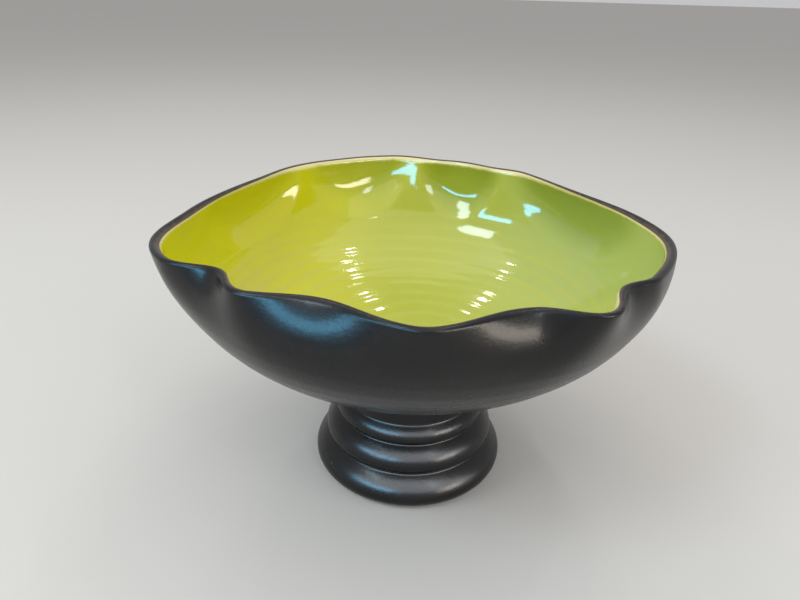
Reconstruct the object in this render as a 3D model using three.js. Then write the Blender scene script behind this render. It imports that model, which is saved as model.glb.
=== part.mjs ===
// Footed ceramic bowl: a thrown bowl with a hand-pinched rim, on a hollow foot of rolled rings.
// Millimetres and degrees, +Z up. The origin is the middle of the foot's base, on the table.
// The front of the bowl faces -Y, and angles run from the front towards +X.

import * as THREE from 'three';

// Foot, as glazed, from the table up
const STAND_RADIUS = 37.8; // outer edge of the bare ring that stands on the table
const STAND_WIDTH = 7; // width of that ring
const BARE_HEIGHT = 1; // bare clay between the table and the glaze
const FOOT_RADIUS = 38.6; // where the lowest roll starts
const LOW_ROLL_HEIGHT = 13.8;
const LOW_ROLL_PULL = 5.4; // how far the curve of the roll is pulled out
const LOW_GROOVE_RADIUS = 35.4; // groove above the lowest roll
const MIDDLE_ROLL_HEIGHT = 12;
const MIDDLE_ROLL_PULL = 3;
const MIDDLE_GROOVE_RADIUS = 31.4;
const TOP_ROLL_HEIGHT = 8;
const TOP_ROLL_PULL = 2.2;
const TOP_GROOVE_RADIUS = 29.4;
const ROLL_BELLY = 0.1; // share of a roll's height at which it swells
const ROLL_SHOULDER = 0.6; // share of its height at which it turns in
const NECK_RADIUS = 30; // stem just under the bowl
const NECK_HEIGHT = 9.4;
const NECK_WALL = 8; // clay left round the hollow at the top of the stem
const SLIP_THICKNESS = 0.8; // joint between the foot and the bowl

// Bowl, as glazed
const BOWL_HEIGHT = 71; // underside to the top of the lip
const FLOOR_THICKNESS = 7; // underside to the middle of the floor
const RIM_RADIUS = 87.5; // mean radius inside the lip
const LIP_THICKNESS = 3.6;
const LIP_LEAN = 21; // how far the wall leans in at the lip
const OUTER_LOW_OUT = 16.5; // how the outside leaves the stem
const OUTER_LOW_UP = 13;
const OUTER_HIGH_PULL = 36.5; // how long the outside stays upright under the lip
const INNER_LOW_PULL = 42; // how long the floor stays flat
const INNER_HIGH_PULL = 34.5; // how long the inside stays upright under the lip

// Hand-shaped rim: pinches press it in, flares draw it out, each over its half width
const LOBE_REACH = 4; // how far the rim stands out where no finger touched it
const PINCHES = [
  { at: -20, depth: 11, halfWidth: 23 },
  { at: 19, depth: 8, halfWidth: 20 },
  { at: -46, depth: 7.8, halfWidth: 12 },
  { at: 42, depth: 7.9, halfWidth: 12 },
  { at: -114, depth: 9.6, halfWidth: 53 },
  { at: 120, depth: 12.5, halfWidth: 45 },
  { at: 155, depth: 5.7, halfWidth: 14 },
  { at: 171, depth: 5.7, halfWidth: 16 },
];
const FLARES = [
  { at: -66, reach: 5, halfWidth: 21 },
  { at: 36.5, reach: 7.9, halfWidth: 14 },
  { at: 72, reach: 1.5, halfWidth: 20 },
  { at: -140, reach: 2.4, halfWidth: 20 },
  { at: -179, reach: 3, halfWidth: 32 },
];
const PINCH_DROP = 44; // how far below the lip the pinches are felt
const PINCH_FADE = 2.6; // power of their fading: higher stays closer to the lip
const PINCH_SPREAD = 0.8; // how much wider they are where they fade out than at the lip

// Glaze
const GLAZE_THICKNESS = 0.6;
const BOND_GAP = 0.1; // between a coat and the clay under it
const GLAZE_GAP = 0.4; // between two coats that meet
const BLACK_LIP_ANGLE = 110; // how far round the lip, from outside to inside, the black coat goes

// Colours and gloss
const CLAY_COLOUR = 0xd9c9ac;
const CLAY_ROUGHNESS = 0.85;
const SLIP_COLOUR = 0xcdbb9c;
const BLACK_COLOUR = 0x1a1a1d;
const BLACK_ROUGHNESS = 0.32;
const LIME_COLOUR = 0xb4c62c;
const LIME_ROUGHNESS = 0.12;

// Facets
const BOWL_SIDES = 80;
const FOOT_SIDES = 48;
const WALL_STEPS = 7;
const LIP_STEPS = 4;
const ROLL_STEPS = 5;

// Worked out from the values above
const COAT = GLAZE_THICKNESS + BOND_GAP;
const LIP_RADIUS = LIP_THICKNESS / 2;
const ROLLS = [
  { height: LOW_ROLL_HEIGHT, pull: LOW_ROLL_PULL, groove: LOW_GROOVE_RADIUS },
  { height: MIDDLE_ROLL_HEIGHT, pull: MIDDLE_ROLL_PULL, groove: MIDDLE_GROOVE_RADIUS },
  { height: TOP_ROLL_HEIGHT, pull: TOP_ROLL_PULL, groove: TOP_GROOVE_RADIUS },
];
const ROLLS_TOP = ROLLS.reduce((sum, roll) => sum + roll.height, BARE_HEIGHT);
const FOOT_TOP = ROLLS_TOP + NECK_HEIGHT;
const BOWL_BASE = FOOT_TOP + SLIP_THICKNESS;
const HEIGHT = BOWL_BASE + BOWL_HEIGHT;
const HOLLOW_BASE_RADIUS = STAND_RADIUS - STAND_WIDTH;
const HOLLOW_TOP_RADIUS = NECK_RADIUS - NECK_WALL;
const SEAT_RADIUS = NECK_RADIUS - 2 * COAT; // flat of the bowl's underside, inside its glaze

// Section points are [radius, height].
function point(radius, height) {
  return new THREE.Vector2(radius, height);
}

// The points of a roll between two grooves, without its first point: it swells low and slopes in above.
function rollPoints(from, to, pull) {
  const height = to.y - from.y;
  const curve = new THREE.CubicBezierCurve(
    from,
    from.clone().add(point(pull, height * ROLL_BELLY)),
    from.clone().add(point(pull, height * ROLL_SHOULDER)),
    to,
  );
  return curve.getPoints(ROLL_STEPS).slice(1);
}

// The same path moved to its left by a distance, with mitred corners.
function inset(path, distance) {
  return path.map((corner, i) => {
    const before = path[Math.max(i - 1, 0)];
    const after = path[Math.min(i + 1, path.length - 1)];
    const arriving = (i > 0 ? corner.clone().sub(before) : after.clone().sub(corner)).normalize();
    const leaving = (i < path.length - 1 ? after.clone().sub(corner) : arriving.clone()).normalize();
    const leftIn = point(-arriving.y, arriving.x);
    const leftOut = point(-leaving.y, leaving.x);
    const mitre = leftIn.clone().add(leftOut).normalize();
    return corner.clone().addScaledVector(mitre, distance / mitre.dot(leftIn));
  });
}

// The glazed outside of the foot, from the edge of the bare clay to just under the bowl.
function footOutline() {
  const outline = [point(FOOT_RADIUS, BARE_HEIGHT)];
  let height = BARE_HEIGHT;
  for (const roll of ROLLS) {
    height += roll.height;
    const groove = point(roll.groove, height);
    outline.push(...rollPoints(outline[outline.length - 1], groove, roll.pull));
  }
  outline.push(point(NECK_RADIUS, BOWL_BASE - GLAZE_GAP));
  return outline;
}

// Points of a wall curve, closer together towards the lip, where the pinches are.
function wallPoints(curve) {
  const points = [];
  for (let i = 0; i <= WALL_STEPS; i += 1) {
    points.push(curve.getPoint(Math.sin((i / WALL_STEPS) * (Math.PI / 2))));
  }
  return points;
}

const lipCentre = point(RIM_RADIUS + LIP_RADIUS, HEIGHT - LIP_RADIUS);
const lean = THREE.MathUtils.degToRad(LIP_LEAN);
const wallUp = point(-Math.sin(lean), Math.cos(lean));

// A point on the round of the lip, 0 degrees on the outside and 180 on the inside.
function lipPoint(degrees) {
  const turn = THREE.MathUtils.degToRad(degrees) + lean;
  return lipCentre.clone().add(point(Math.cos(turn), Math.sin(turn)).multiplyScalar(LIP_RADIUS));
}

function lipArc(fromDegrees, toDegrees, steps) {
  const arc = [];
  for (let i = 0; i <= steps; i += 1) {
    arc.push(lipPoint(fromDegrees + ((toDegrees - fromDegrees) * i) / steps));
  }
  return arc;
}

// The black surface of the bowl, from the stem up the outside and over the lip.
function outerSkin() {
  const start = point(NECK_RADIUS, BOWL_BASE);
  const end = lipPoint(0);
  const curve = new THREE.CubicBezierCurve(
    start,
    start.clone().add(point(OUTER_LOW_OUT, OUTER_LOW_UP)),
    end.clone().addScaledVector(wallUp, -OUTER_HIGH_PULL),
    end,
  );
  return [...wallPoints(curve).slice(0, -1), ...lipArc(0, BLACK_LIP_ANGLE, LIP_STEPS)];
}

// The green surface of the bowl, from the lip down the inside to the middle of the floor.
function innerSkin() {
  const floor = point(0, BOWL_BASE + FLOOR_THICKNESS);
  const end = lipPoint(180);
  const curve = new THREE.CubicBezierCurve(
    floor,
    floor.clone().add(point(INNER_LOW_PULL, 0)),
    end.clone().addScaledVector(wallUp, -INNER_HIGH_PULL),
    end,
  );
  const edge = BLACK_LIP_ANGLE + THREE.MathUtils.radToDeg(GLAZE_GAP / LIP_RADIUS);
  return [lipPoint(edge), ...wallPoints(curve).reverse()];
}

// How far the hand moved the wall at an angle: out where positive, in where negative.
function rimShift(degrees, spread) {
  const touch = (at, halfWidth) => {
    const away = Math.abs(THREE.MathUtils.euclideanModulo(degrees - at + 180, 360) - 180);
    const share = away / (halfWidth * spread);
    return share < 1 ? (1 + Math.cos(Math.PI * share)) / 2 : 0;
  };
  let shift = LOBE_REACH;
  for (const pinch of PINCHES) shift -= pinch.depth * touch(pinch.at, pinch.halfWidth);
  for (const flare of FLARES) shift += flare.reach * touch(flare.at, flare.halfWidth);
  return shift;
}

// Presses the rim's shape into a round piece, fading out below the lip.
function pinchRim(geometry) {
  const position = geometry.attributes.position;
  const place = new THREE.Vector3();
  for (let i = 0; i < position.count; i += 1) {
    place.fromBufferAttribute(position, i);
    const drop = (HEIGHT - place.z) / PINCH_DROP;
    const felt = Math.max(0, 1 - drop) ** PINCH_FADE;
    const radius = Math.hypot(place.x, place.y);
    if (radius > 0 && felt > 0) {
      const degrees = THREE.MathUtils.radToDeg(Math.atan2(place.x, -place.y));
      const stretch = 1 + (felt * rimShift(degrees, 1 + PINCH_SPREAD * drop)) / radius;
      position.setXY(i, place.x * stretch, place.y * stretch);
    }
  }
  geometry.computeVertexNormals();
  return geometry;
}

// A solid of revolution about Z from a section that runs anticlockwise in [radius, height]. Each of its
// quads is split the same way up, so that a coat and the clay under it fold along the same lines.
function turned(section, sides) {
  const geometry = new THREE.LatheGeometry(section, sides);
  const rows = section.length;
  const index = [];
  for (let side = 0; side < sides; side += 1) {
    for (let row = 0; row < rows - 1; row += 1) {
      const here = side * rows + row;
      const beside = here + rows;
      const falls = section[row + 1].y < section[row].y;
      if (falls) index.push(here, beside, beside + 1, here, beside + 1, here + 1);
      else index.push(here, beside, here + 1, beside + 1, here + 1, beside);
    }
  }
  geometry.setIndex(index);
  return geometry.rotateX(Math.PI / 2);
}

function closed(section) {
  return [...section, section[0].clone()];
}

// The skin of the whole bowl moved into its wall, with its last point still on the axis.
function bowlInset(distance) {
  const path = inset([...outerSkin(), ...innerSkin()], distance);
  path[path.length - 1].x = 0;
  return path;
}

function pedestalFoot() {
  const clay = inset(footOutline(), COAT);
  clay[clay.length - 1].y = FOOT_TOP;
  const section = [
    point(HOLLOW_BASE_RADIUS, 0),
    point(STAND_RADIUS, 0),
    ...clay,
    point(HOLLOW_TOP_RADIUS, FOOT_TOP),
  ];
  return turned(closed(section), FOOT_SIDES);
}

function lutingSlip() {
  const low = FOOT_TOP + BOND_GAP;
  const high = BOWL_BASE - BOND_GAP;
  const outside = NECK_RADIUS - COAT - BOND_GAP;
  const section = [
    point(HOLLOW_TOP_RADIUS, low),
    point(outside, low),
    point(outside, high),
    point(HOLLOW_TOP_RADIUS, high),
  ];
  return turned(closed(section), FOOT_SIDES);
}

function footGlaze() {
  const skin = footOutline();
  const under = inset(skin, GLAZE_THICKNESS);
  return turned(closed([...skin, ...under.reverse()]), FOOT_SIDES);
}

function bowlBody() {
  const section = [
    point(0, BOWL_BASE),
    point(SEAT_RADIUS, BOWL_BASE),
    ...bowlInset(COAT),
  ];
  return pinchRim(turned(section, BOWL_SIDES));
}

function outerGlaze() {
  const skin = outerSkin();
  const under = bowlInset(GLAZE_THICKNESS).slice(0, skin.length);
  return pinchRim(turned(closed([...skin, ...under.reverse()]), BOWL_SIDES));
}

function innerGlaze() {
  const skin = innerSkin();
  const under = bowlInset(GLAZE_THICKNESS).slice(-skin.length);
  return pinchRim(turned([...under.reverse(), ...skin], BOWL_SIDES));
}

function finish(color, roughness) {
  return new THREE.MeshStandardMaterial({ color, roughness, metalness: 0 });
}

function piece(name, geometry, material) {
  const mesh = new THREE.Mesh(geometry, material);
  mesh.name = name;
  return mesh;
}

const group = new THREE.Group();
group.add(piece('pedestal_foot', pedestalFoot(), finish(CLAY_COLOUR, CLAY_ROUGHNESS)));
group.add(piece('luting_slip', lutingSlip(), finish(SLIP_COLOUR, CLAY_ROUGHNESS)));
group.add(piece('foot_glaze', footGlaze(), finish(BLACK_COLOUR, BLACK_ROUGHNESS)));
group.add(piece('bowl_body', bowlBody(), finish(CLAY_COLOUR, CLAY_ROUGHNESS)));
group.add(piece('outer_glaze', outerGlaze(), finish(BLACK_COLOUR, BLACK_ROUGHNESS)));
group.add(piece('inner_glaze', innerGlaze(), finish(LIME_COLOUR, LIME_ROUGHNESS)));

export default group;
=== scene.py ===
"""Looks of the footed ceramic bowl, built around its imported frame.

The bowl is thrown in clay and its rim is pinched by hand. A glossy lime-green glaze lines it, a satin black
glaze covers its outside and its ringed foot, and it stands on a bare ring of clay. Metres, +Z up. The front
of the bowl faces -Y, and angles round it run in degrees from the front towards +X.
"""

import logging
import math
from dataclasses import dataclass, field
from enum import Enum
from typing import Any, Optional, Union

import bpy
import numpy as np
from mathutils import Matrix, Vector


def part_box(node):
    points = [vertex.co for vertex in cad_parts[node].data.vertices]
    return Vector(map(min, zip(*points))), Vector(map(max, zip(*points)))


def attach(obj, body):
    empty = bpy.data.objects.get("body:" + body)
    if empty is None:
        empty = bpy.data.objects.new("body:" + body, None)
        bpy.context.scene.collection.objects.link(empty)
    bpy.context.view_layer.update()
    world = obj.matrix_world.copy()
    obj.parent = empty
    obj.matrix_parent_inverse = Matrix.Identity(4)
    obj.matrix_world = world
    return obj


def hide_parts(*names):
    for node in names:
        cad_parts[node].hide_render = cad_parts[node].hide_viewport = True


LOG = logging.getLogger("footed_bowl")
MM = 0.001
BODY = "root"

Colour = tuple[float, float, float]
Corner = tuple[float, float]

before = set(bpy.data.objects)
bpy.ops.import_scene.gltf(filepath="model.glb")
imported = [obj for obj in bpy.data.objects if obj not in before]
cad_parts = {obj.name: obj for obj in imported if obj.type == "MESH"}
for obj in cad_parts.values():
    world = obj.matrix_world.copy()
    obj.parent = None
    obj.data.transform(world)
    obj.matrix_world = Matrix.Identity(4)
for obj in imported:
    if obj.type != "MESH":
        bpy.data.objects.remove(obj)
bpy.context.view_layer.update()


class Node(Enum):
    """The CAD nodes that the pieces stand for."""

    BOWL = "bowl_body"
    FOOT = "pedestal_foot"
    SLIP = "luting_slip"
    LINING = "inner_glaze"
    BOWL_COAT = "outer_glaze"
    FOOT_COAT = "foot_glaze"


class Slot(Enum):
    """The record's material slots."""

    CLAY = "clay"
    SLIP = "slip"
    LIME = "lime_glaze"
    BLACK = "black_glaze"


class Trait(Enum):
    """What a vertex knows about its place on a thrown surface, for the finishes to read."""

    RINGS = "rings"
    EDGE = "edge"
    # How far the wall is dished, kept only for the painted shade of the panels.
    PANEL_SHADE = "panel_shade"


def srgb(red: int, green: int, blue: int) -> Colour:
    """Turns a colour as it is seen on a screen into a shader's colour.

    Args:
        red: Red, 0 to 255.
        green: Green, 0 to 255.
        blue: Blue, 0 to 255.

    Returns:
        The linear colour, 0 to 1.
    """
    return tuple(
        part / 255 / 12.92 if part <= 10 else ((part / 255 + 0.055) / 1.055) ** 2.4
        for part in (red, green, blue)
    )


def eased(value: np.ndarray, low: float, high: float) -> np.ndarray:
    """Rises smoothly from 0 at low to 1 at high.

    Args:
        value: The values to ease.
        low: Where the rise starts.
        high: Where the rise ends.

    Returns:
        The eased values, 0 to 1.
    """
    share = np.clip((value - low) / (high - low), 0, 1)
    return share * share * (3 - 2 * share)


@dataclass(frozen=True)
class Section:
    """A line of points in the half plane of radius and height, for the wheel to turn."""

    CURVE_STEPS = 400
    ARC_STEPS = 120
    SAME_POINT = 0.001 * MM

    points: np.ndarray

    @classmethod
    def of(cls, *corners: Corner) -> "Section":
        """Makes a section of straight lines between corners."""
        return cls(np.array(corners, float))

    @classmethod
    def curve(cls, start: Corner, leave: Corner, arrive: Corner, end: Corner) -> "Section":
        """Makes a section along one Bezier curve.

        Args:
            start: Its first point.
            leave: The handle that it leaves towards.
            arrive: The handle that it arrives from.
            end: Its last point.

        Returns:
            The section, in fine steps.
        """
        share = np.linspace(0, 1, cls.CURVE_STEPS)[:, None]
        rest = 1 - share
        terms = (
            rest**3 * np.array(start),
            3 * rest**2 * share * np.array(leave),
            3 * rest * share**2 * np.array(arrive),
            share**3 * np.array(end),
        )
        return cls(sum(terms))

    @classmethod
    def arc(cls, centre: Corner, radius: float, start: float, end: float) -> "Section":
        """Makes a section along a round.

        Args:
            centre: The middle of the round.
            radius: Its radius.
            start: The angle where it starts, in degrees from outwards to up.
            end: The angle where it ends.

        Returns:
            The section, in fine steps.
        """
        turn = np.radians(np.linspace(start, end, cls.ARC_STEPS))
        return cls(np.array(centre) + radius * np.column_stack((np.cos(turn), np.sin(turn))))

    def then(self, *others: "Section") -> "Section":
        """Joins this section to others, without doubling a point that two of them share."""
        joined = self.points
        for other in others:
            shared = np.allclose(joined[-1], other.points[0], atol=self.SAME_POINT)
            joined = np.vstack((joined, other.points[int(shared):]))
        return Section(joined)

    def back(self) -> "Section":
        """Runs this section the other way."""
        return Section(self.points[::-1])

    def along(self) -> np.ndarray:
        """Gives each point's distance from the start, along the section."""
        return np.concatenate(([0], np.cumsum(np.hypot(*np.diff(self.points, axis=0).T))))

    def length(self) -> float:
        """Gives the length of the section."""
        return float(self.along()[-1])

    def evenly(self, step: float) -> "Section":
        """Spreads the points evenly.

        Args:
            step: The distance between two points.

        Returns:
            The section with its ends kept.
        """
        along = self.along()
        spread = np.linspace(0, along[-1], max(2, round(along[-1] / step) + 1))
        return Section(np.column_stack([np.interp(spread, along, part) for part in self.points.T]))

    def softened(self, reach: float) -> "Section":
        """Rounds the corners of an evenly spread section.

        Args:
            reach: How far along the section each point is averaged, to both sides.

        Returns:
            The section with its ends kept.
        """
        step = self.length() / (len(self.points) - 1)
        count = max(1, round(reach / step))
        weights = np.hanning(2 * count + 3)[1:-1]
        padded = np.vstack((
            2 * self.points[0] - self.points[count:0:-1],
            self.points,
            2 * self.points[-1] - self.points[-2:-count - 2:-1],
        ))
        parts = [np.convolve(part, weights / weights.sum(), "valid") for part in padded.T]
        return Section(np.column_stack(parts))

    def lefts(self) -> np.ndarray:
        """Gives the direction to the left of the section at each point."""
        ahead = np.gradient(self.points, axis=0)
        left = np.column_stack((-ahead[:, 1], ahead[:, 0]))
        return left / np.hypot(*left.T)[:, None]

    def inset(self, distance: float) -> "Section":
        """Moves the section to its left by a distance."""
        return Section(self.points + distance * self.lefts())


@dataclass(frozen=True)
class Touch:
    """One place where the hand moved the rim: in by its depth, or out where that is negative."""

    at: float
    depth: float
    half_width: float


@dataclass(frozen=True)
class Panel:
    """A place where a thumb dished the wall outwards: half an oval that hangs from the lip."""

    at: float
    half_width: float


@dataclass(frozen=True)
class HandShapedRim:
    """The rim as the hand left it, which every layer of the bowl's wall shares."""

    lip_height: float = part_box(Node.BOWL_COAT.value)[1].z
    lobe_reach: float = 4 * MM
    drop: float = 44 * MM
    fade: float = 2.6
    spread: float = 0.8
    touches: tuple[Touch, ...] = (
        Touch(-20, 11 * MM, 23),
        Touch(19, 8 * MM, 20),
        Touch(-46, 7.8 * MM, 12),
        Touch(42, 7.9 * MM, 12),
        Touch(-114, 9.6 * MM, 53),
        Touch(120, 12.5 * MM, 45),
        Touch(155, 5.7 * MM, 14),
        Touch(171, 5.7 * MM, 16),
        Touch(-66, -5 * MM, 21),
        Touch(36.5, -7.9 * MM, 14),
        Touch(72, -1.5 * MM, 20),
        Touch(-140, -2.4 * MM, 20),
        Touch(-179, -3 * MM, 32),
    )
    panels: tuple[Panel, ...] = (Panel(164, 16), Panel(-161, 19), Panel(-116, 26), Panel(117, 31))
    panel_drop: float = 30 * MM
    panel_depth: float = 0.8 * MM
    panel_edge: float = 0.7
    ridge_height: float = 3 * MM
    ridge_top: float = 0.5
    ridge_end: float = 1.4
    panels_from: float = 80
    panels_full: float = 105

    def shift(self, turn: np.ndarray, height: np.ndarray) -> np.ndarray:
        """Gives how far the hand moved the wall outwards.

        Args:
            turn: Angles round the bowl, in degrees.
            height: Heights above the table.

        Returns:
            The moves, positive outwards.
        """
        below = np.maximum(self.lip_height - height, 0)
        share = below / self.drop
        moved = np.full_like(turn, self.lobe_reach)
        for touch in self.touches:
            moved -= touch.depth * self.felt(turn, touch.at, touch.half_width * (1 + self.spread * share))
        moved *= np.maximum(1 - share, 0) ** self.fade
        down = below / self.panel_drop
        rise = np.sin(np.pi / 2 * np.minimum(down / self.ridge_top, 1))
        swell = rise * eased(down, self.ridge_end, self.ridge_top)
        pressed = (self.panel_depth + self.ridge_height) * self.dished(turn, height) - self.ridge_height
        pressed *= eased(np.abs(turn), self.panels_from, self.panels_full)
        return moved + swell * pressed

    def dished(self, turn: np.ndarray, height: np.ndarray) -> np.ndarray:
        """Gives how far the thumbs dished the wall.

        Args:
            turn: Angles round the bowl, in degrees.
            height: Heights above the table.

        Returns:
            1 at the top of a panel's middle, falling to 0 at its oval edge and on the ridges between.
        """
        down = (self.lip_height - height) / self.panel_drop
        oval = np.zeros_like(turn)
        for panel in self.panels:
            across = self.away(turn, panel.at) / panel.half_width
            oval += eased(1 - across**2 - down**2, 0, self.panel_edge)
        return oval

    @staticmethod
    def away(turn: np.ndarray, at: float) -> np.ndarray:
        """Gives how far angles are from one angle, the short way round."""
        return np.abs((turn - at + 180) % 360 - 180)

    def felt(self, turn: np.ndarray, at: float, half_width: np.ndarray) -> np.ndarray:
        """Gives how much of a touch is felt: 1 at its middle, 0 past its half width."""
        share = self.away(turn, at) / half_width
        return np.where(share < 1, (1 + np.cos(np.pi * np.minimum(share, 1))) / 2, 0)


@dataclass(frozen=True)
class ThrowingRings:
    """The grooves that fingers leave in a turning wall, and the soft ridges between them.

    They drift up and down by shares of their spacing, in one long and one short wave, and are uneven.
    """

    FINE_STEPS = 500

    height: float
    close: float
    wide: float
    seed: float
    long_drift: float = 0.16
    long_wave: float = 17 * MM
    short_drift: float = 0.1
    short_wave: float = 11 * MM
    uneven_share: float = 0.4
    uneven_long: float = 6.3 * MM
    uneven_short: float = 2.9 * MM
    uneven_sway: float = 0.8
    sharpness: float = 0.3

    def wave(self, along: np.ndarray, turn: np.ndarray, length: float) -> np.ndarray:
        """Gives the height of the rings.

        Args:
            along: Distances along the section, from the wide rings to the close ones.
            turn: Angles round the piece, in degrees.
            length: Where the rings have their closest spacing.

        Returns:
            The heights as shares of the rings' own, about -1 to 1.
        """
        angle = np.radians(turn)
        fine = np.linspace(0, length, self.FINE_STEPS)
        pitch = self.wide + (self.close - self.wide) * fine / length
        counted = np.concatenate(([0], np.cumsum(np.diff(fine) / pitch[1:])))
        drift = self.long_drift * np.sin(angle + along / self.long_wave + self.seed)
        drift += self.short_drift * np.sin(2 * angle - along / self.short_wave + 2 * self.seed)
        phase = 2 * np.pi * (np.interp(along, fine, counted) + drift) + angle
        sway = np.sin(along / self.uneven_long + self.uneven_sway * np.sin(angle))
        sway *= np.sin(along / self.uneven_short)
        uneven = 1 - self.uneven_share + self.uneven_share * sway
        ridges = np.cos(phase) + self.sharpness * np.cos(2 * phase)
        return uneven * ridges / (1 + self.sharpness)


class ThrownPiece:
    """A round piece on the wheel, whose surface can still be moved before it is set."""

    AXIS_TOLERANCE = 0.002 * MM
    SMOOTH_ANGLE = math.radians(50)
    ROWS_AT_ONCE = 4096

    def __init__(self, name: str, section: Section, turns: int, closed: bool) -> None:
        """Throws the piece.

        Args:
            name: The piece's name.
            section: Its section, with the surface that shows first.
            turns: How many steps the wheel makes in one turn.
            closed: Whether the section ends where it starts, and not on the axis.
        """
        self.section = section
        points = np.vstack((section.points, section.points[:1])) if closed else section.points
        self.piece = self._spun(name, points, turns)
        mesh = self.piece.data
        place = np.empty(len(mesh.vertices) * 3)
        mesh.vertices.foreach_get("co", place)
        place = place.reshape(-1, 3)
        self.radius = np.hypot(place[:, 0], place[:, 1])
        self.height = place[:, 2].copy()
        self.turn = np.degrees(np.arctan2(place[:, 0], -place[:, 1]))
        self.row = self._rows(np.column_stack((self.radius, self.height)))
        self.along = section.along()[self.row]

    def _spun(self, name: str, points: np.ndarray, turns: int) -> bpy.types.Object:
        """Draws the section by extruding a point along it, and spins it round the axis.

        Args:
            name: The piece's name.
            points: The section's points.
            turns: How many steps the spin has.

        Returns:
            The round piece.
        """
        bpy.ops.object.select_all(action="DESELECT")
        bpy.ops.mesh.primitive_plane_add(size=MM, location=(points[0][0], 0, points[0][1]))
        piece = bpy.context.object
        piece.name = name
        piece.data.name = name
        bpy.ops.object.transform_apply(location=True, rotation=True, scale=True)
        bpy.ops.object.mode_set(mode="EDIT")
        bpy.ops.mesh.select_all(action="SELECT")
        bpy.ops.mesh.merge(type="CENTER")
        for step in np.diff(points, axis=0):
            bpy.ops.mesh.extrude_region_move(TRANSFORM_OT_translate={"value": (step[0], 0, step[1])})
        bpy.ops.mesh.select_all(action="SELECT")
        bpy.ops.mesh.spin(steps=turns, angle=math.tau, center=(0, 0, 0), axis=(0, 0, 1))
        bpy.ops.mesh.select_all(action="SELECT")
        bpy.ops.mesh.remove_doubles(threshold=self.AXIS_TOLERANCE)
        bpy.ops.mesh.normals_make_consistent(inside=False)
        bpy.ops.object.mode_set(mode="OBJECT")
        return piece

    def _rows(self, flat: np.ndarray) -> np.ndarray:
        """Finds the section point that each vertex was spun from.

        Args:
            flat: Each vertex's radius and height.

        Returns:
            The section points' numbers.
        """
        rows = np.empty(len(flat), int)
        for first in range(0, len(flat), self.ROWS_AT_ONCE):
            some = slice(first, first + self.ROWS_AT_ONCE)
            away = flat[some, None, :] - self.section.points[None, :, :]
            rows[some] = np.argmin((away**2).sum(2), axis=1)
        return rows

    def mark(self, trait: Trait, values: np.ndarray) -> None:
        """Writes what each vertex knows, for the finish to read."""
        layer = self.piece.data.attributes.new(trait.value, "FLOAT", "POINT")
        layer.data.foreach_set("value", values.astype(np.float32))

    def raise_skin(self, amount: np.ndarray) -> None:
        """Moves each vertex to the right of the section, which is out of the wall."""
        outward = -self.section.lefts()[self.row]
        self.radius = np.where(self.radius > self.AXIS_TOLERANCE, self.radius + amount * outward[:, 0], 0)
        self.height = self.height + amount * outward[:, 1]

    def pinch(self, rim: HandShapedRim) -> None:
        """Presses the hand-shaped rim into the piece."""
        moved = self.radius + rim.shift(self.turn, self.height)
        self.radius = np.where(self.radius > self.AXIS_TOLERANCE, moved, 0)

    def set(self) -> bpy.types.Object:
        """Writes the moved surface into the mesh and smooths its shading.

        Returns:
            The finished piece, not yet dressed.
        """
        angle = np.radians(self.turn)
        place = np.column_stack((self.radius * np.sin(angle), -self.radius * np.cos(angle), self.height))
        self.piece.data.vertices.foreach_set("co", place.ravel())
        self.piece.data.update()
        bpy.ops.object.select_all(action="DESELECT")
        self.piece.select_set(True)
        bpy.context.view_layer.objects.active = self.piece
        bpy.ops.object.shade_smooth_by_angle(angle=self.SMOOTH_ANGLE)
        return self.piece


Feed = Union["Wire", float, Colour, tuple]


@dataclass(frozen=True)
class Patches:
    """A soft random pattern: the size of a patch, its number of finer layers and how strong those are."""

    grain: float
    detail: float = 2.0
    roughness: float = 0.5


@dataclass(frozen=True)
class Specks:
    """Scattered specks: the distance between their places, their radius and the share of places used."""

    spacing: float
    radius: float
    share: float


class Wire:
    """A value in a finish. Arithmetic on it adds Math nodes."""

    def __init__(self, bench: "Bench", socket: bpy.types.NodeSocket) -> None:
        """Wraps a socket of a bench's node tree."""
        self.bench = bench
        self.socket = socket

    def _maths(self, operation: str, *values: Feed) -> "Wire":
        """Adds a Math node and gives its result."""
        return self.bench.add("ShaderNodeMath", {"operation": operation}, dict(enumerate(values)))

    def __add__(self, other: Feed) -> "Wire":
        """Adds."""
        return self._maths("ADD", self, other)

    def __radd__(self, other: float) -> "Wire":
        """Adds to a number."""
        return self._maths("ADD", other, self)

    def __sub__(self, other: Feed) -> "Wire":
        """Takes away."""
        return self._maths("SUBTRACT", self, other)

    def __rsub__(self, other: float) -> "Wire":
        """Takes away from a number."""
        return self._maths("SUBTRACT", other, self)

    def __mul__(self, other: Feed) -> "Wire":
        """Multiplies."""
        return self._maths("MULTIPLY", self, other)

    def __rmul__(self, other: float) -> "Wire":
        """Multiplies a number."""
        return self._maths("MULTIPLY", other, self)

    def eased(self, low: float, high: float) -> "Wire":
        """Rises smoothly from 0 at low to 1 at high, or falls where low is the higher."""
        rising = {"Value": self, "From Min": min(low, high), "From Max": max(low, high)}
        rising.update({"To Min": float(low > high), "To Max": float(low < high)})
        return self.bench.add("ShaderNodeMapRange", {"interpolation_type": "SMOOTHSTEP"}, rising)


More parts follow.
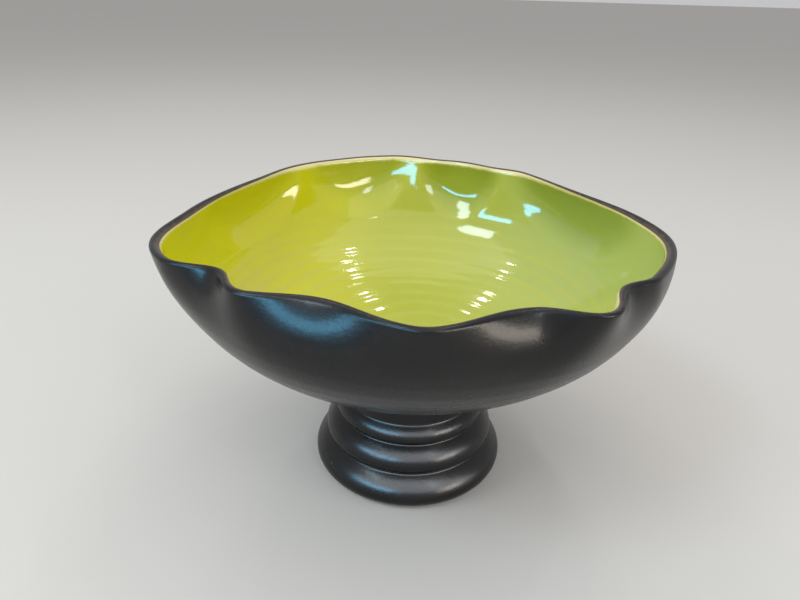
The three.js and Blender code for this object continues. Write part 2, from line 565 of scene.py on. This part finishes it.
class Bench:
    """Where one finish is mixed: a material and its nodes."""

    MIX_SOCKETS = {"factor": 0, "first": 6, "second": 7, "result": 2}
    NOISE_MIDDLE = 0.5
    SPECK_CORE = 0.5
    SPECK_SURE = 0.8

    def __init__(self, name: str) -> None:
        """Starts a material with nothing in it."""
        self.material = bpy.data.materials.new(name)
        self.material.use_nodes = True
        self.tree = self.material.node_tree
        self.tree.nodes.clear()

    def add(
        self,
        kind: str,
        settings: Optional[dict[str, Any]] = None,
        feeds: Optional[dict[Union[str, int], Feed]] = None,
        output: Union[str, int] = 0,
    ) -> Wire:
        """Adds a node.

        Args:
            kind: The node's type.
            settings: Its settings, which are set first.
            feeds: The values or wires of its sockets.
            output: The socket that its result comes from.

        Returns:
            The node's result.
        """
        node = self.tree.nodes.new(kind)
        for name, value in (settings or {}).items():
            setattr(node, name, value)
        for key, value in (feeds or {}).items():
            socket = node.inputs[key]
            if isinstance(value, Wire):
                self.tree.links.new(value.socket, socket)
            elif socket.type == "RGBA":
                socket.default_value = (*value, 1)
            else:
                socket.default_value = value
        return Wire(self, node.outputs[output])

    def place(self) -> Wire:
        """Gives the place on the piece, in metres."""
        return self.add("ShaderNodeTexCoord", output="Object")

    def part(self, vector: Wire, axis: str) -> Wire:
        """Gives one part of a vector: X, Y or Z."""
        return self.add("ShaderNodeSeparateXYZ", feeds={0: vector}, output=axis)

    def trait(self, trait: Trait) -> Wire:
        """Gives what the piece's vertices know."""
        return self.add("ShaderNodeAttribute", {"attribute_name": trait.value}, output="Fac")

    def noise(self, place: Wire, patches: Patches) -> Wire:
        """Gives a soft random value.

        Args:
            place: The place on the piece.
            patches: The pattern of its patches.

        Returns:
            Values about 0 to 1, with 0.5 in the middle.
        """
        feeds = {
            "Vector": place,
            "Scale": 1 / patches.grain,
            "Detail": patches.detail,
            "Roughness": patches.roughness,
        }
        return self.add("ShaderNodeTexNoise", feeds=feeds)

    def sway(self, place: Wire, patches: Patches) -> Wire:
        """Gives a soft random value that is 0 in the middle."""
        return self.noise(place, patches) - self.NOISE_MIDDLE

    def specks(self, place: Wire, specks: Specks) -> Wire:
        """Gives small round specks, scattered.

        Args:
            place: The place on the piece.
            specks: Their spacing, radius and share.

        Returns:
            1 on a speck and 0 off it.
        """
        cells = {"Vector": place, "Scale": 1 / specks.spacing}
        away = self.add("ShaderNodeTexVoronoi", feeds=cells, output="Distance")
        chance = self.part(self.add("ShaderNodeTexVoronoi", feeds=cells, output="Color"), "X")
        radius = specks.radius / specks.spacing
        spot = away.eased(radius, self.SPECK_CORE * radius)
        return spot * chance.eased(1 - specks.share, 1 - self.SPECK_SURE * specks.share)

    def mix(self, factor: Feed, first: Feed, second: Feed) -> Wire:
        """Mixes two colours.

        Args:
            factor: The share of the second.
            first: The first colour.
            second: The second colour.

        Returns:
            The mixed colour.
        """
        sockets = self.MIX_SOCKETS
        feeds = {sockets["factor"]: factor, sockets["first"]: first, sockets["second"]: second}
        return self.add("ShaderNodeMix", {"data_type": "RGBA"}, feeds, sockets["result"])

    def bump(self, height: Wire, depth: float) -> Wire:
        """Turns a height of 0 to 1 into a relief of a given depth."""
        return self.add("ShaderNodeBump", feeds={"Height": height, "Distance": depth, "Strength": 1.0})

    def finish(self, **feeds: Feed) -> bpy.types.Material:
        """Puts the surface together.

        Args:
            feeds: The surface's sockets, with underscores for the spaces in their names.

        Returns:
            The finished material.
        """
        named = {name.replace("_", " "): value for name, value in feeds.items()}
        surface = self.add("ShaderNodeBsdfPrincipled", feeds=named)
        self.add_output(surface)
        return self.material

    def add_output(self, surface: Wire) -> None:
        """Joins a surface to the material's output."""
        node = self.tree.nodes.new("ShaderNodeOutputMaterial")
        self.tree.links.new(surface.socket, node.inputs["Surface"])


@dataclass(frozen=True)
class LimeGlaze:
    """Glossy lime-green glaze: paler on ridges and further in from the lip, and broken to cream at the lip.
    Its colour also carries painted light, yellower on the left and greener on the right, and painted shade,
    a deeper green in the dished panels on the right.
    """

    yellow: Colour = srgb(208, 202, 14)
    lime: Colour = srgb(176, 181, 52)
    green: Colour = srgb(172, 188, 106)
    # A deeper green: painted shade for the dished panels.
    shaded_green: Colour = srgb(124, 148, 42)
    pale: Colour = srgb(190, 190, 82)
    cream: Colour = srgb(220, 208, 152)
    speck: Colour = srgb(96, 74, 30)
    clouds: Patches = Patches(45 * MM, 3)
    cloud_sway: float = 40 * MM
    # Painted light: where the lime turns yellower on the left and greener on the right.
    yellow_lit_side: float = -65 * MM
    green_lit_side: float = 75 * MM
    # How much paler the lining gets further in from the lip.
    pale_depth: Corner = (15 * MM, 45 * MM)
    pale_by_depth: float = 0.3
    thin_by_rings: float = 0.22
    thin_patches: Patches = Patches(16 * MM, 4)
    thin_by_patches: float = 0.4
    paling_range: Corner = (-0.1, 0.9)
    # Painted shade of the dished panels: how it grows from left to right across the bowl, and how strong it
    # is.
    panel_shade_side: Corner = (-80 * MM, 40 * MM)
    panel_shade_share: float = 0.55
    break_width: float = 2.6 * MM
    break_full: float = 0.35
    break_share: float = 0.92
    break_patches: Patches = Patches(3.5 * MM, 3)
    break_sway: float = 2.4 * MM
    specks: Specks = Specks(7 * MM, 0.32 * MM, 0.06)
    speck_share: float = 0.85
    speck_pit: float = 0.5
    gloss: float = 0.06
    gloss_patches: Patches = Patches(9 * MM, 2)
    rough_by_patches: float = 0.06
    rough_by_break: float = 0.1
    swells: Patches = Patches(5 * MM, 2)
    ripples: Patches = Patches(1.4 * MM)
    ripple_share: float = 0.25
    relief_depth: float = 0.06 * MM
    refraction: float = 1.52
    coat: float = 0.3
    coat_roughness: float = 0.04

    def material(self) -> bpy.types.Material:
        """Mixes the glaze."""
        bench = Bench("Lime glaze")
        place = bench.place()
        edge = bench.trait(Trait.EDGE)
        across = bench.part(place, "X") + self.cloud_sway * bench.sway(place, self.clouds)
        # Painted light: the lime is painted yellower on the left and greener on the right, where light
        # falls differently on the two sides.
        body = bench.mix(across.eased(self.yellow_lit_side, 0), self.yellow, self.lime)
        body = bench.mix(across.eased(0, self.green_lit_side), body, self.green)
        # Paler further in from the lip, paler where the glaze thins on the ring ridges, and paler in random
        # patches.
        paling = self.pale_by_depth * edge.eased(*self.pale_depth)
        paling = paling + self.thin_by_rings * bench.trait(Trait.RINGS)
        paling = paling + self.thin_by_patches * bench.sway(place, self.thin_patches)
        body = bench.mix(paling.eased(*self.paling_range), body, self.pale)
        # Painted shade: the dished panels, mostly on the right, are painted a deeper green where the
        # overhanging wall is shaded and reflects the lime floor.
        shaded_panels = bench.trait(Trait.PANEL_SHADE) * across.eased(*self.panel_shade_side)
        body = bench.mix(self.panel_shade_share * shaded_panels, body, self.shaded_green)
        ragged = edge + self.break_sway * bench.sway(place, self.break_patches)
        broken = ragged.eased(self.break_width, self.break_full * self.break_width)
        body = bench.mix(self.break_share * broken, body, self.cream)
        specks = bench.specks(place, self.specks)
        body = bench.mix(self.speck_share * specks, body, self.speck)
        rough = self.gloss + self.rough_by_patches * bench.noise(place, self.gloss_patches)
        relief = bench.noise(place, self.swells) + self.ripple_share * bench.noise(place, self.ripples)
        return bench.finish(
            Base_Color=body,
            Roughness=rough + self.rough_by_break * broken,
            Normal=bench.bump(relief - self.speck_pit * specks, self.relief_depth),
            IOR=self.refraction,
            Coat_Weight=self.coat,
            Coat_Roughness=self.coat_roughness,
        )


@dataclass(frozen=True)
class BlackGlaze:
    """Satin black glaze with a soft metallic sheen, worn to bronze where it thins over an edge; along the
    lip that bronze is brightened as a painted highlight.
    """

    black: Colour = srgb(11, 11, 12)
    smoky: Colour = srgb(22, 20, 21)
    bronze_wear_and_highlight: Colour = srgb(98, 83, 68)
    pinhole: Colour = srgb(190, 182, 165)
    clouds: Patches = Patches(22 * MM, 4, 0.6)
    cloud_range: Corner = (0.35, 0.75)
    grain: Patches = Patches(1.1 * MM, 3, 0.6)
    # The bronze edge band: partly real wear, partly painted highlight along the lip.
    wear_and_highlight_width: float = 1.4 * MM
    wear_and_highlight_full: float = 0.2
    wear_and_highlight_share: float = 0.75
    wear_and_highlight_patches: Patches = Patches(2.5 * MM, 3)
    wear_and_highlight_sway: float = 1.5 * MM
    pinholes: Specks = Specks(11 * MM, 0.3 * MM, 0.04)
    pinhole_share: float = 0.8
    pinhole_pit: float = 0.8
    satin: float = 0.24
    rough_by_cloud: float = 0.1
    rough_by_grain: float = 0.12
    rough_by_wear: float = 0.08
    swells: Patches = Patches(6 * MM, 2)
    relief_depth: float = 0.05 * MM
    refraction: float = 1.38
    coat: float = 0.1
    coat_roughness: float = 0.14

    def material(self) -> bpy.types.Material:
        """Mixes the glaze."""
        bench = Bench("Black glaze")
        place = bench.place()
        edge = bench.trait(Trait.EDGE)
        cloud = bench.noise(place, self.clouds)
        grain = bench.noise(place, self.grain)
        body = bench.mix(cloud.eased(*self.cloud_range), self.black, self.smoky)
        # The edge band is partly real wear, where the glaze thins to bronze, and partly painted highlight,
        # brightened along the lip to stand for the light it catches.
        ragged = edge + self.wear_and_highlight_sway * bench.sway(place, self.wear_and_highlight_patches)
        wear_and_highlight = ragged.eased(self.wear_and_highlight_width, self.wear_and_highlight_full * self.wear_and_highlight_width)
        body = bench.mix(self.wear_and_highlight_share * wear_and_highlight, body, self.bronze_wear_and_highlight)
        pinholes = bench.specks(place, self.pinholes)
        body = bench.mix(self.pinhole_share * pinholes, body, self.pinhole)
        rough = self.satin + self.rough_by_cloud * cloud
        rough = rough + self.rough_by_grain * (grain - bench.NOISE_MIDDLE)
        relief = grain + bench.noise(place, self.swells) - self.pinhole_pit * pinholes
        return bench.finish(
            Base_Color=body,
            Roughness=rough + self.rough_by_wear * wear_and_highlight,
            Normal=bench.bump(relief, self.relief_depth),
            IOR=self.refraction,
            Coat_Weight=self.coat,
            Coat_Roughness=self.coat_roughness,
        )


@dataclass(frozen=True)
class FiredClay:
    """Bare fired clay: pale, matt, gritty and lightly speckled."""

    name: str
    clay: Colour
    shade: Colour
    speck: Colour = srgb(126, 98, 70)
    clouds: Patches = Patches(12 * MM, 4, 0.6)
    cloud_range: Corner = (0.3, 0.75)
    grit: Patches = Patches(0.6 * MM, 3, 0.65)
    lumps: Patches = Patches(3 * MM, 2)
    lump_share: float = 1.5
    specks: Specks = Specks(2.2 * MM, 0.3 * MM, 0.25)
    speck_share: float = 0.6
    roughness: float = 0.8
    rough_by_grit: float = 0.15
    relief_depth: float = 0.08 * MM

    def material(self) -> bpy.types.Material:
        """Mixes the clay."""
        bench = Bench(self.name)
        place = bench.place()
        cloud = bench.noise(place, self.clouds)
        grit = bench.noise(place, self.grit)
        body = bench.mix(cloud.eased(*self.cloud_range), self.clay, self.shade)
        specks = bench.specks(place, self.specks)
        body = bench.mix(self.speck_share * specks, body, self.speck)
        relief = grit + self.lump_share * bench.noise(place, self.lumps)
        return bench.finish(
            Base_Color=body,
            Roughness=self.roughness + self.rough_by_grit * grit,
            Normal=bench.bump(relief, self.relief_depth),
        )


def dress(piece: bpy.types.Object, node: Node, finish: bpy.types.Material) -> None:
    """Gives a piece its finish, and puts it in the place of its CAD node.

    Args:
        piece: The finished mesh.
        node: The CAD node that it stands for.
        finish: Its material.
    """
    piece.data.materials.clear()
    piece.data.materials.append(finish)
    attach(piece, BODY)
    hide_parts(node.value)
    LOG.info("%s stands for %s: %d faces", piece.name, node.value, len(piece.data.polygons))


@dataclass
class ThrownBowl:
    """The bowl: its clay wall, its lime lining and the black coat that goes over the lip."""

    LIP_OUTSIDE = 0
    LIP_INSIDE = 180
    LIP_SLACK = 1.1

    rim: HandShapedRim = field(default_factory=HandShapedRim)
    base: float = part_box(Node.BOWL.value)[0].z
    neck_radius: float = 30 * MM
    floor_thickness: float = 7 * MM
    rim_radius: float = 87.5 * MM
    lip_thickness: float = 3.6 * MM
    lip_lean: float = 21
    outer_low: Corner = (16.5 * MM, 13 * MM)
    outer_high: float = 36.5 * MM
    inner_low: float = 42 * MM
    inner_high: float = 34.5 * MM
    coat: float = 0.6 * MM
    clay_depth: float = 0.7 * MM
    seat_radius: float = 28.6 * MM
    black_lip_angle: float = 108
    side_run: float = 40
    side_at: float = 85
    side_width: float = 55
    turns: int = 320
    lining_step: float = 0.6 * MM
    skin_step: float = 0.9 * MM
    lip_step: float = 0.35 * MM
    clay_step: float = 2 * MM
    hidden_step: float = 3 * MM
    inner_rings: ThrowingRings = ThrowingRings(0.1 * MM, 5.2 * MM, 9 * MM, 1.3)
    inner_ring_start: Corner = (6 * MM, 32 * MM)
    inner_ring_full: Corner = (22 * MM, 40 * MM)
    inner_ring_faint: float = 0.3
    outer_rings: ThrowingRings = ThrowingRings(0.05 * MM, 5 * MM, 7 * MM, 4.2)
    outer_ring_start: Corner = (4 * MM, 25 * MM)

    def _lip_centre(self) -> np.ndarray:
        """Gives the middle of the round of the lip, in the section."""
        half = self.lip_thickness / 2
        return np.array((self.rim_radius + half, self.rim.lip_height - half))

    def _lip(self, start: float, end: float) -> Section:
        """Gives part of the round of the lip, 0 degrees outside and 180 inside."""
        lean = self.lip_lean
        return Section.arc(self._lip_centre(), self.lip_thickness / 2, start + lean, end + lean)

    def _lip_end(self, angle: float) -> np.ndarray:
        """Gives the point where the round of the lip meets the wall, outside or inside."""
        return self._lip(angle, angle).points[0]

    def _wall_up(self) -> np.ndarray:
        """Gives the direction of the wall at the lip, in the section."""
        lean = math.radians(self.lip_lean)
        return np.array((-math.sin(lean), math.cos(lean)))

    def outer_wall(self) -> Section:
        """Gives the outside from the stem up to the round of the lip."""
        start = np.array((self.neck_radius, self.base))
        end = self._lip_end(self.LIP_OUTSIDE)
        return Section.curve(start, start + self.outer_low, end - self.outer_high * self._wall_up(), end)

    def _inner_wall(self) -> Section:
        """Gives the inside from the middle of the floor up to the round of the lip."""
        floor = np.array((0, self.base + self.floor_thickness))
        end = self._lip_end(self.LIP_INSIDE)
        leave = floor + (self.inner_low, 0)
        return Section.curve(floor, leave, end - self.inner_high * self._wall_up(), end)

    def _skin(self, wall_step: float, lip_step: float) -> Section:
        """Gives the whole glazed surface from the stem, over the lip, to the middle of the floor."""
        return self.outer_wall().evenly(wall_step).then(
            self._lip(self.LIP_OUTSIDE, self.LIP_INSIDE).evenly(lip_step),
            self._inner_wall().back().evenly(wall_step),
        )

    def _run_black(self, thrown: ThrownPiece, kept: float) -> None:
        """Runs the edge between black and lime further over the lip at the two sides of the bowl.

        Args:
            thrown: The coat or the lining.
            kept: The angle round the lip that stays in its place, outside for the coat, or inside.
        """
        centre = self._lip_centre()
        spoke = np.column_stack((thrown.radius, thrown.height)) - centre
        reach = np.hypot(*spoke.T)
        angle = (np.degrees(np.arctan2(spoke[:, 1], spoke[:, 0])) - self.lip_lean) % 360
        share = (angle - kept) / (self.black_lip_angle - kept)
        run = self.side_run * self.rim.felt(np.abs(thrown.turn), self.side_at, self.side_width)
        moved = np.radians(angle + share * run + self.lip_lean)
        on_lip = (reach < self.lip_thickness) & (share > 0) & (share < self.LIP_SLACK)
        thrown.radius = np.where(on_lip, centre[0] + reach * np.cos(moved), thrown.radius)
        thrown.height = np.where(on_lip, centre[1] + reach * np.sin(moved), thrown.height)

    def build_clay(self, finish: bpy.types.Material) -> None:
        """Throws the clay wall, which shows underneath through the hollow of the foot."""
        wall = self._skin(self.clay_step, self.lip_step).inset(self.clay_depth).points
        wall[-1][0] = 0
        under = Section.of((0, self.base), (self.seat_radius, self.base)).evenly(self.hidden_step)
        thrown = ThrownPiece("clay_bowl", under.then(Section(wall)), self.turns, closed=False)
        thrown.pinch(self.rim)
        dress(thrown.set(), Node.BOWL, finish)

    def build_lining(self, finish: bpy.types.Material) -> None:
        """Throws the lime lining, with the rings that the fingers left."""
        lip = self._lip(self.LIP_INSIDE, self.black_lip_angle).evenly(self.lip_step)
        skin = self._inner_wall().evenly(self.lining_step).then(lip)
        under = skin.inset(-self.coat).evenly(self.hidden_step).back().points
        under[-1][0] = 0
        thrown = ThrownPiece("lime_lining", skin.then(Section(under)), self.turns, closed=False)
        length = skin.length()
        shown = thrown.row < len(skin.points)
        below = self.rim.lip_height - thrown.height
        faint = self.inner_ring_faint
        strength = faint + (1 - faint) * eased(below, *self.inner_ring_full)
        strength *= eased(below, *self.inner_ring_start)
        rings = shown * strength * self.inner_rings.wave(thrown.along, thrown.turn, length)
        thrown.mark(Trait.RINGS, rings)
        thrown.mark(Trait.EDGE, np.where(shown, length - thrown.along, 0))
        # The dished share drives the painted shade of the panels.
        thrown.mark(Trait.PANEL_SHADE, self.rim.dished(thrown.turn, thrown.height))
        thrown.raise_skin(-self.inner_rings.height * rings)
        self._run_black(thrown, self.LIP_INSIDE)
        thrown.pinch(self.rim)
        dress(thrown.set(), Node.LINING, finish)

    def build_coat(self, finish: bpy.types.Material) -> None:
        """Throws the black coat from the stem up the outside and over the lip."""
        lip = self._lip(self.LIP_OUTSIDE, self.black_lip_angle).evenly(self.lip_step)
        skin = self.outer_wall().evenly(self.skin_step).then(lip)
        under = skin.inset(self.coat).evenly(self.hidden_step).back()
        thrown = ThrownPiece("black_coat", skin.then(under), self.turns, closed=True)
        shown = thrown.row < len(skin.points)
        away = np.where(shown, skin.length() - thrown.along, 0)
        strength = shown * eased(away, *self.outer_ring_start)
        rings = strength * self.outer_rings.wave(thrown.along, thrown.turn, skin.length())
        thrown.mark(Trait.EDGE, away)
        thrown.raise_skin(self.outer_rings.height * rings)
        self._run_black(thrown, self.LIP_OUTSIDE)
        thrown.pinch(self.rim)
        dress(thrown.set(), Node.BOWL_COAT, finish)


@dataclass(frozen=True)
class Roll:
    """One rolled ring of the foot, with the groove above it."""

    height: float
    pull: float
    groove_radius: float


@dataclass
class RingedFoot:
    """The foot: its hollow clay stem of rolls, its black coat and the slip that joins it to the bowl."""

    bowl: ThrownBowl
    top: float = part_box(Node.FOOT.value)[1].z
    stand_radius: float = 37.8 * MM
    stand_width: float = 7 * MM
    bare_height: float = 1 * MM
    foot_radius: float = 38.6 * MM
    rolls: tuple[Roll, ...] = (
        Roll(13.8 * MM, 5.4 * MM, 35.4 * MM),
        Roll(12 * MM, 3 * MM, 31.4 * MM),
        Roll(8 * MM, 2.2 * MM, 29.4 * MM),
    )
    belly: float = 0.1
    shoulder: float = 0.6
    neck_wall: float = 8 * MM
    neck_trim: float = 0.5 * MM
    groove_soft: float = 1.1 * MM
    cove_reach: float = 3.4 * MM
    edge_round: float = 0.6 * MM
    slip_bead: float = 0.5 * MM
    turns: int = 192
    skin_step: float = 0.5 * MM
    hidden_step: float = 1.2 * MM
    stand_step: float = 0.25 * MM
    bead_step: float = 0.15 * MM
    hollow_rings: ThrowingRings = ThrowingRings(0.2 * MM, 3.2 * MM, 4.4 * MM, 2.2)
    hollow_ring_start: Corner = (2 * MM, 8 * MM)
    hollow_ring_end: float = 4 * MM

    def _outline(self) -> Section:
        """Gives the glazed outside, from the edge of the bare clay to the neck under the bowl."""
        outline = Section.of((self.foot_radius, self.bare_height))
        for roll in self.rolls:
            start = outline.points[-1]
            belly = start + (roll.pull, roll.height * self.belly)
            shoulder = start + (roll.pull, roll.height * self.shoulder)
            groove = (roll.groove_radius, start[1] + roll.height)
            outline = outline.then(Section.curve(start, belly, shoulder, groove))
        return outline.then(Section.of((self.bowl.neck_radius, self.bowl.base)))

    def _coved_outline(self) -> Section:
        """Gives the outside with soft grooves, carried a little way onto the bowl's underside."""
        under_bowl = self.bowl.outer_wall().evenly(self.skin_step)
        reach = under_bowl.along() < self.cove_reach
        joined = self._outline().then(Section(under_bowl.points[reach]))
        return joined.evenly(self.skin_step).softened(self.groove_soft)

    def build_clay(self, finish: bpy.types.Material) -> None:
        """Throws the hollow clay foot, with the bare ring that it stands on."""
        hollow_base = self.stand_radius - self.stand_width
        hollow_top = self.bowl.neck_radius - self.neck_wall
        clay = self._outline().evenly(self.hidden_step).softened(self.groove_soft)
        clay = clay.inset(self.bowl.clay_depth)
        clay = Section(clay.points[clay.points[:, 1] < self.top - self.neck_trim])
        hollow = Section.of((hollow_top, self.top), (hollow_base, 0)).evenly(self.hidden_step)
        stand = Section.of((hollow_base, 0), (self.stand_radius, 0), tuple(clay.points[0]))
        stand = stand.evenly(self.stand_step).softened(self.edge_round)
        outside = Section.of(tuple(clay.points[-1]), (clay.points[-1][0], self.top), (hollow_top, self.top))
        section = hollow.then(stand, clay, outside.evenly(self.hidden_step))
        thrown = ThrownPiece("clay_foot", Section(section.points[:-1]), self.turns, closed=True)
        inside = thrown.row < len(hollow.points)
        middle = eased(thrown.height, *self.hollow_ring_start)
        middle *= eased(thrown.height, self.top, self.top - self.hollow_ring_end)
        rings = self.hollow_rings.wave(thrown.along, thrown.turn, hollow.length())
        thrown.raise_skin(inside * middle * self.hollow_rings.height * rings)
        dress(thrown.set(), Node.FOOT, finish)

    def build_slip(self, finish: bpy.types.Material) -> None:
        """Throws the slip joint, squeezed out into a small bead inside the hollow."""
        low = self.top
        high = self.bowl.base
        inner = self.bowl.neck_radius - self.neck_wall
        outer = self.bowl.neck_radius - self.bowl.clay_depth
        bead = Section.curve(
            (inner, high), (inner - self.slip_bead, high), (inner - self.slip_bead, low), (inner, low)
        )
        joint = Section.of((inner, low), (outer, low), (outer, high))
        section = bead.evenly(self.bead_step).then(joint)
        thrown = ThrownPiece("slip_joint", section, self.turns, closed=True)
        dress(thrown.set(), Node.SLIP, finish)

    def build_coat(self, finish: bpy.types.Material) -> None:
        """Throws the black coat over the rolls, which stops just above the table."""
        skin = self._coved_outline()
        under = skin.inset(self.bowl.coat).evenly(self.hidden_step).back()
        thrown = ThrownPiece("foot_coat", skin.then(under), self.turns, closed=True)
        shown = thrown.row < len(skin.points)
        thrown.mark(Trait.EDGE, np.where(shown, thrown.along, 0))
        dress(thrown.set(), Node.FOOT_COAT, finish)


class Role(Enum):
    """What a lamp does: light the bowl and show in its gloss, or only one of the two.

    A lamp for the foot hangs flat under the rim and shows only in the foot's gloss.
    """

    FULL = "full"
    GLOSS = "gloss"
    FILL = "fill"
    FOOT = "foot"


@dataclass(frozen=True)
class Softbox:
    """A soft studio lamp that looks at the bowl, or straight down beside its foot."""

    name: str
    place: tuple[float, float, float]
    width: float
    height: float
    power: float
    colour: Colour
    role: Role = Role.FULL

    def hang(self, target: Vector) -> None:
        """Hangs the lamp so that it faces a point, or, for the foot, so that it faces straight down."""
        lamp = bpy.data.lights.new(self.name, "AREA")
        lamp.shape = "RECTANGLE"
        lamp.size = self.width
        lamp.size_y = self.height
        lamp.energy = self.power
        lamp.color = self.colour
        holder = bpy.data.objects.new(self.name, lamp)
        holder.visible_camera = False
        holder.visible_diffuse = self.role in (Role.FULL, Role.FILL)
        holder.visible_glossy = self.role is not Role.FILL
        holder.location = self.place
        if self.role is not Role.FOOT:
            turned = (target - Vector(self.place)).to_track_quat("-Z", "Y")
            holder.rotation_euler = turned.to_euler()
        bpy.context.scene.collection.objects.link(holder)


@dataclass
class Studio:
    """The plain studio: a pale floor, soft lamps and the camera of the photograph."""

    floor_size: float = 60.0
    floor_colour: Colour = srgb(206, 203, 198)
    floor_clouds: Patches = Patches(0.4)
    floor_mottle: float = 0.1
    floor_roughness: float = 0.9
    air_colour: Colour = srgb(226, 226, 228)
    air_strength: float = 0.72
    camera_place: tuple[float, float, float] = (-5.5 * MM, -234 * MM, 193.9 * MM)
    camera_pitch: float = 26.43
    camera_roll: float = 1.69
    focal_pixels: float = 620
    image_width: int = 800
    film_width: float = 36
    near_clip: float = 5 * MM
    target: Vector = field(default_factory=lambda: Vector((0, 0, 80 * MM)))
    lamps: tuple[Softbox, ...] = (
        Softbox("Low window", (-0.62, -0.78, 0.42), 0.95, 0.2, 8.8, (0.18, 0.64, 1.0), Role.GLOSS),
        Softbox("Foot strip", (0.13, -0.12, 0.06), 0.5, 0.11, 0.8, (0.88, 0.94, 1.0), Role.FOOT),
        Softbox("High window", (-0.6, -0.45, 0.95), 0.34, 0.25, 2.9, (0.7, 0.9, 1.0)),
        Softbox("Side window", (0.55, -0.85, 0.8), 0.12, 0.4, 1.2, (0.86, 0.94, 1.0)),
        Softbox("Warm lamp", (0.78, -0.68, 0.26), 0.5, 0.24, 4.2, (1.0, 0.9, 0.78), Role.GLOSS),
        Softbox("Left fill", (-1.0, -0.35, 0.5), 0.5, 0.5, 2.8, (1.0, 1.0, 1.0), Role.FILL),
        Softbox("Right fill", (1.0, -0.35, 0.5), 0.5, 0.5, 1.7, (1.0, 1.0, 1.0), Role.FILL),
        Softbox("Overhead", (0.0, -0.35, 1.3), 1.8, 1.8, 7.6, (1.0, 0.985, 0.955)),
    )
    spots: tuple[Corner, ...] = (
        (0.36, 0.14),
        (0.29, 0.38),
        (0.21, 0.6),
        (-0.43, 0.44),
        (-0.28, 0.68),
    )
    ceiling: float = 1.1
    spot_size: float = 0.04
    spot_power: float = 0.3
    spot_colour: Colour = (1.0, 0.98, 0.94)

    def lay_floor(self) -> None:
        """Lays the pale floor."""
        bpy.ops.object.select_all(action="DESELECT")
        bpy.ops.mesh.primitive_plane_add(size=self.floor_size)
        floor = bpy.context.object
        floor.name = "studio_floor"
        bench = Bench("Studio floor")
        cloud = bench.noise(bench.place(), self.floor_clouds)
        tone = bench.mix(self.floor_mottle * cloud, self.floor_colour, self.air_colour)
        matt = bench.finish(Base_Color=tone, Roughness=self.floor_roughness, Specular_IOR_Level=0)
        floor.data.materials.append(matt)

    def light(self) -> None:
        """Hangs the lamps and fills the air with soft light."""
        world = bpy.data.worlds.new("Studio air")
        world.use_nodes = True
        air = world.node_tree.nodes["Background"]
        air.inputs["Color"].default_value = (*self.air_colour, 1)
        air.inputs["Strength"].default_value = self.air_strength
        bpy.context.scene.world = world
        for lamp in self.lamps:
            lamp.hang(self.target)
        for x, y in self.spots:
            size = self.spot_size
            place = (x, y, self.ceiling)
            spot = Softbox("Ceiling spot", place, size, size, self.spot_power, self.spot_colour)
            spot.hang(self.target)

    def set_camera(self) -> None:
        """Sets the camera where the photograph was taken from."""
        lens = bpy.data.cameras.new("Photograph")
        lens.sensor_fit = "HORIZONTAL"
        lens.sensor_width = self.film_width
        lens.lens = self.focal_pixels / self.image_width * self.film_width
        lens.clip_start = self.near_clip
        camera = bpy.data.objects.new("Photograph", lens)
        pitch = Matrix.Rotation(math.radians(90 - self.camera_pitch), 4, "X")
        roll = Matrix.Rotation(math.radians(self.camera_roll), 4, "Z")
        camera.matrix_world = Matrix.Translation(self.camera_place) @ pitch @ roll
        bpy.context.scene.collection.objects.link(camera)
        bpy.context.scene.camera = camera

    def set_view(self) -> None:
        """Shows colours as they are written."""
        bpy.context.scene.view_settings.view_transform = "Standard"


def main() -> None:
    """Builds the bowl, its foot and the studio, in that order."""
    logging.basicConfig(level=logging.INFO, format="%(name)s: %(message)s")
    clay = FiredClay("Bare clay", srgb(217, 201, 172), srgb(200, 180, 148)).material()
    slip = FiredClay("Clay slip", srgb(205, 187, 156), srgb(186, 165, 132)).material()
    lime = LimeGlaze().material()
    black = BlackGlaze().material()
    bowl = ThrownBowl()
    bowl.build_clay(clay)
    bowl.build_lining(lime)
    bowl.build_coat(black)
    foot = RingedFoot(bowl)
    foot.build_clay(clay)
    foot.build_slip(slip)
    foot.build_coat(black)
    studio = Studio()
    studio.lay_floor()
    studio.light()
    studio.set_camera()
    studio.set_view()


if __name__ == "__main__":
    main()
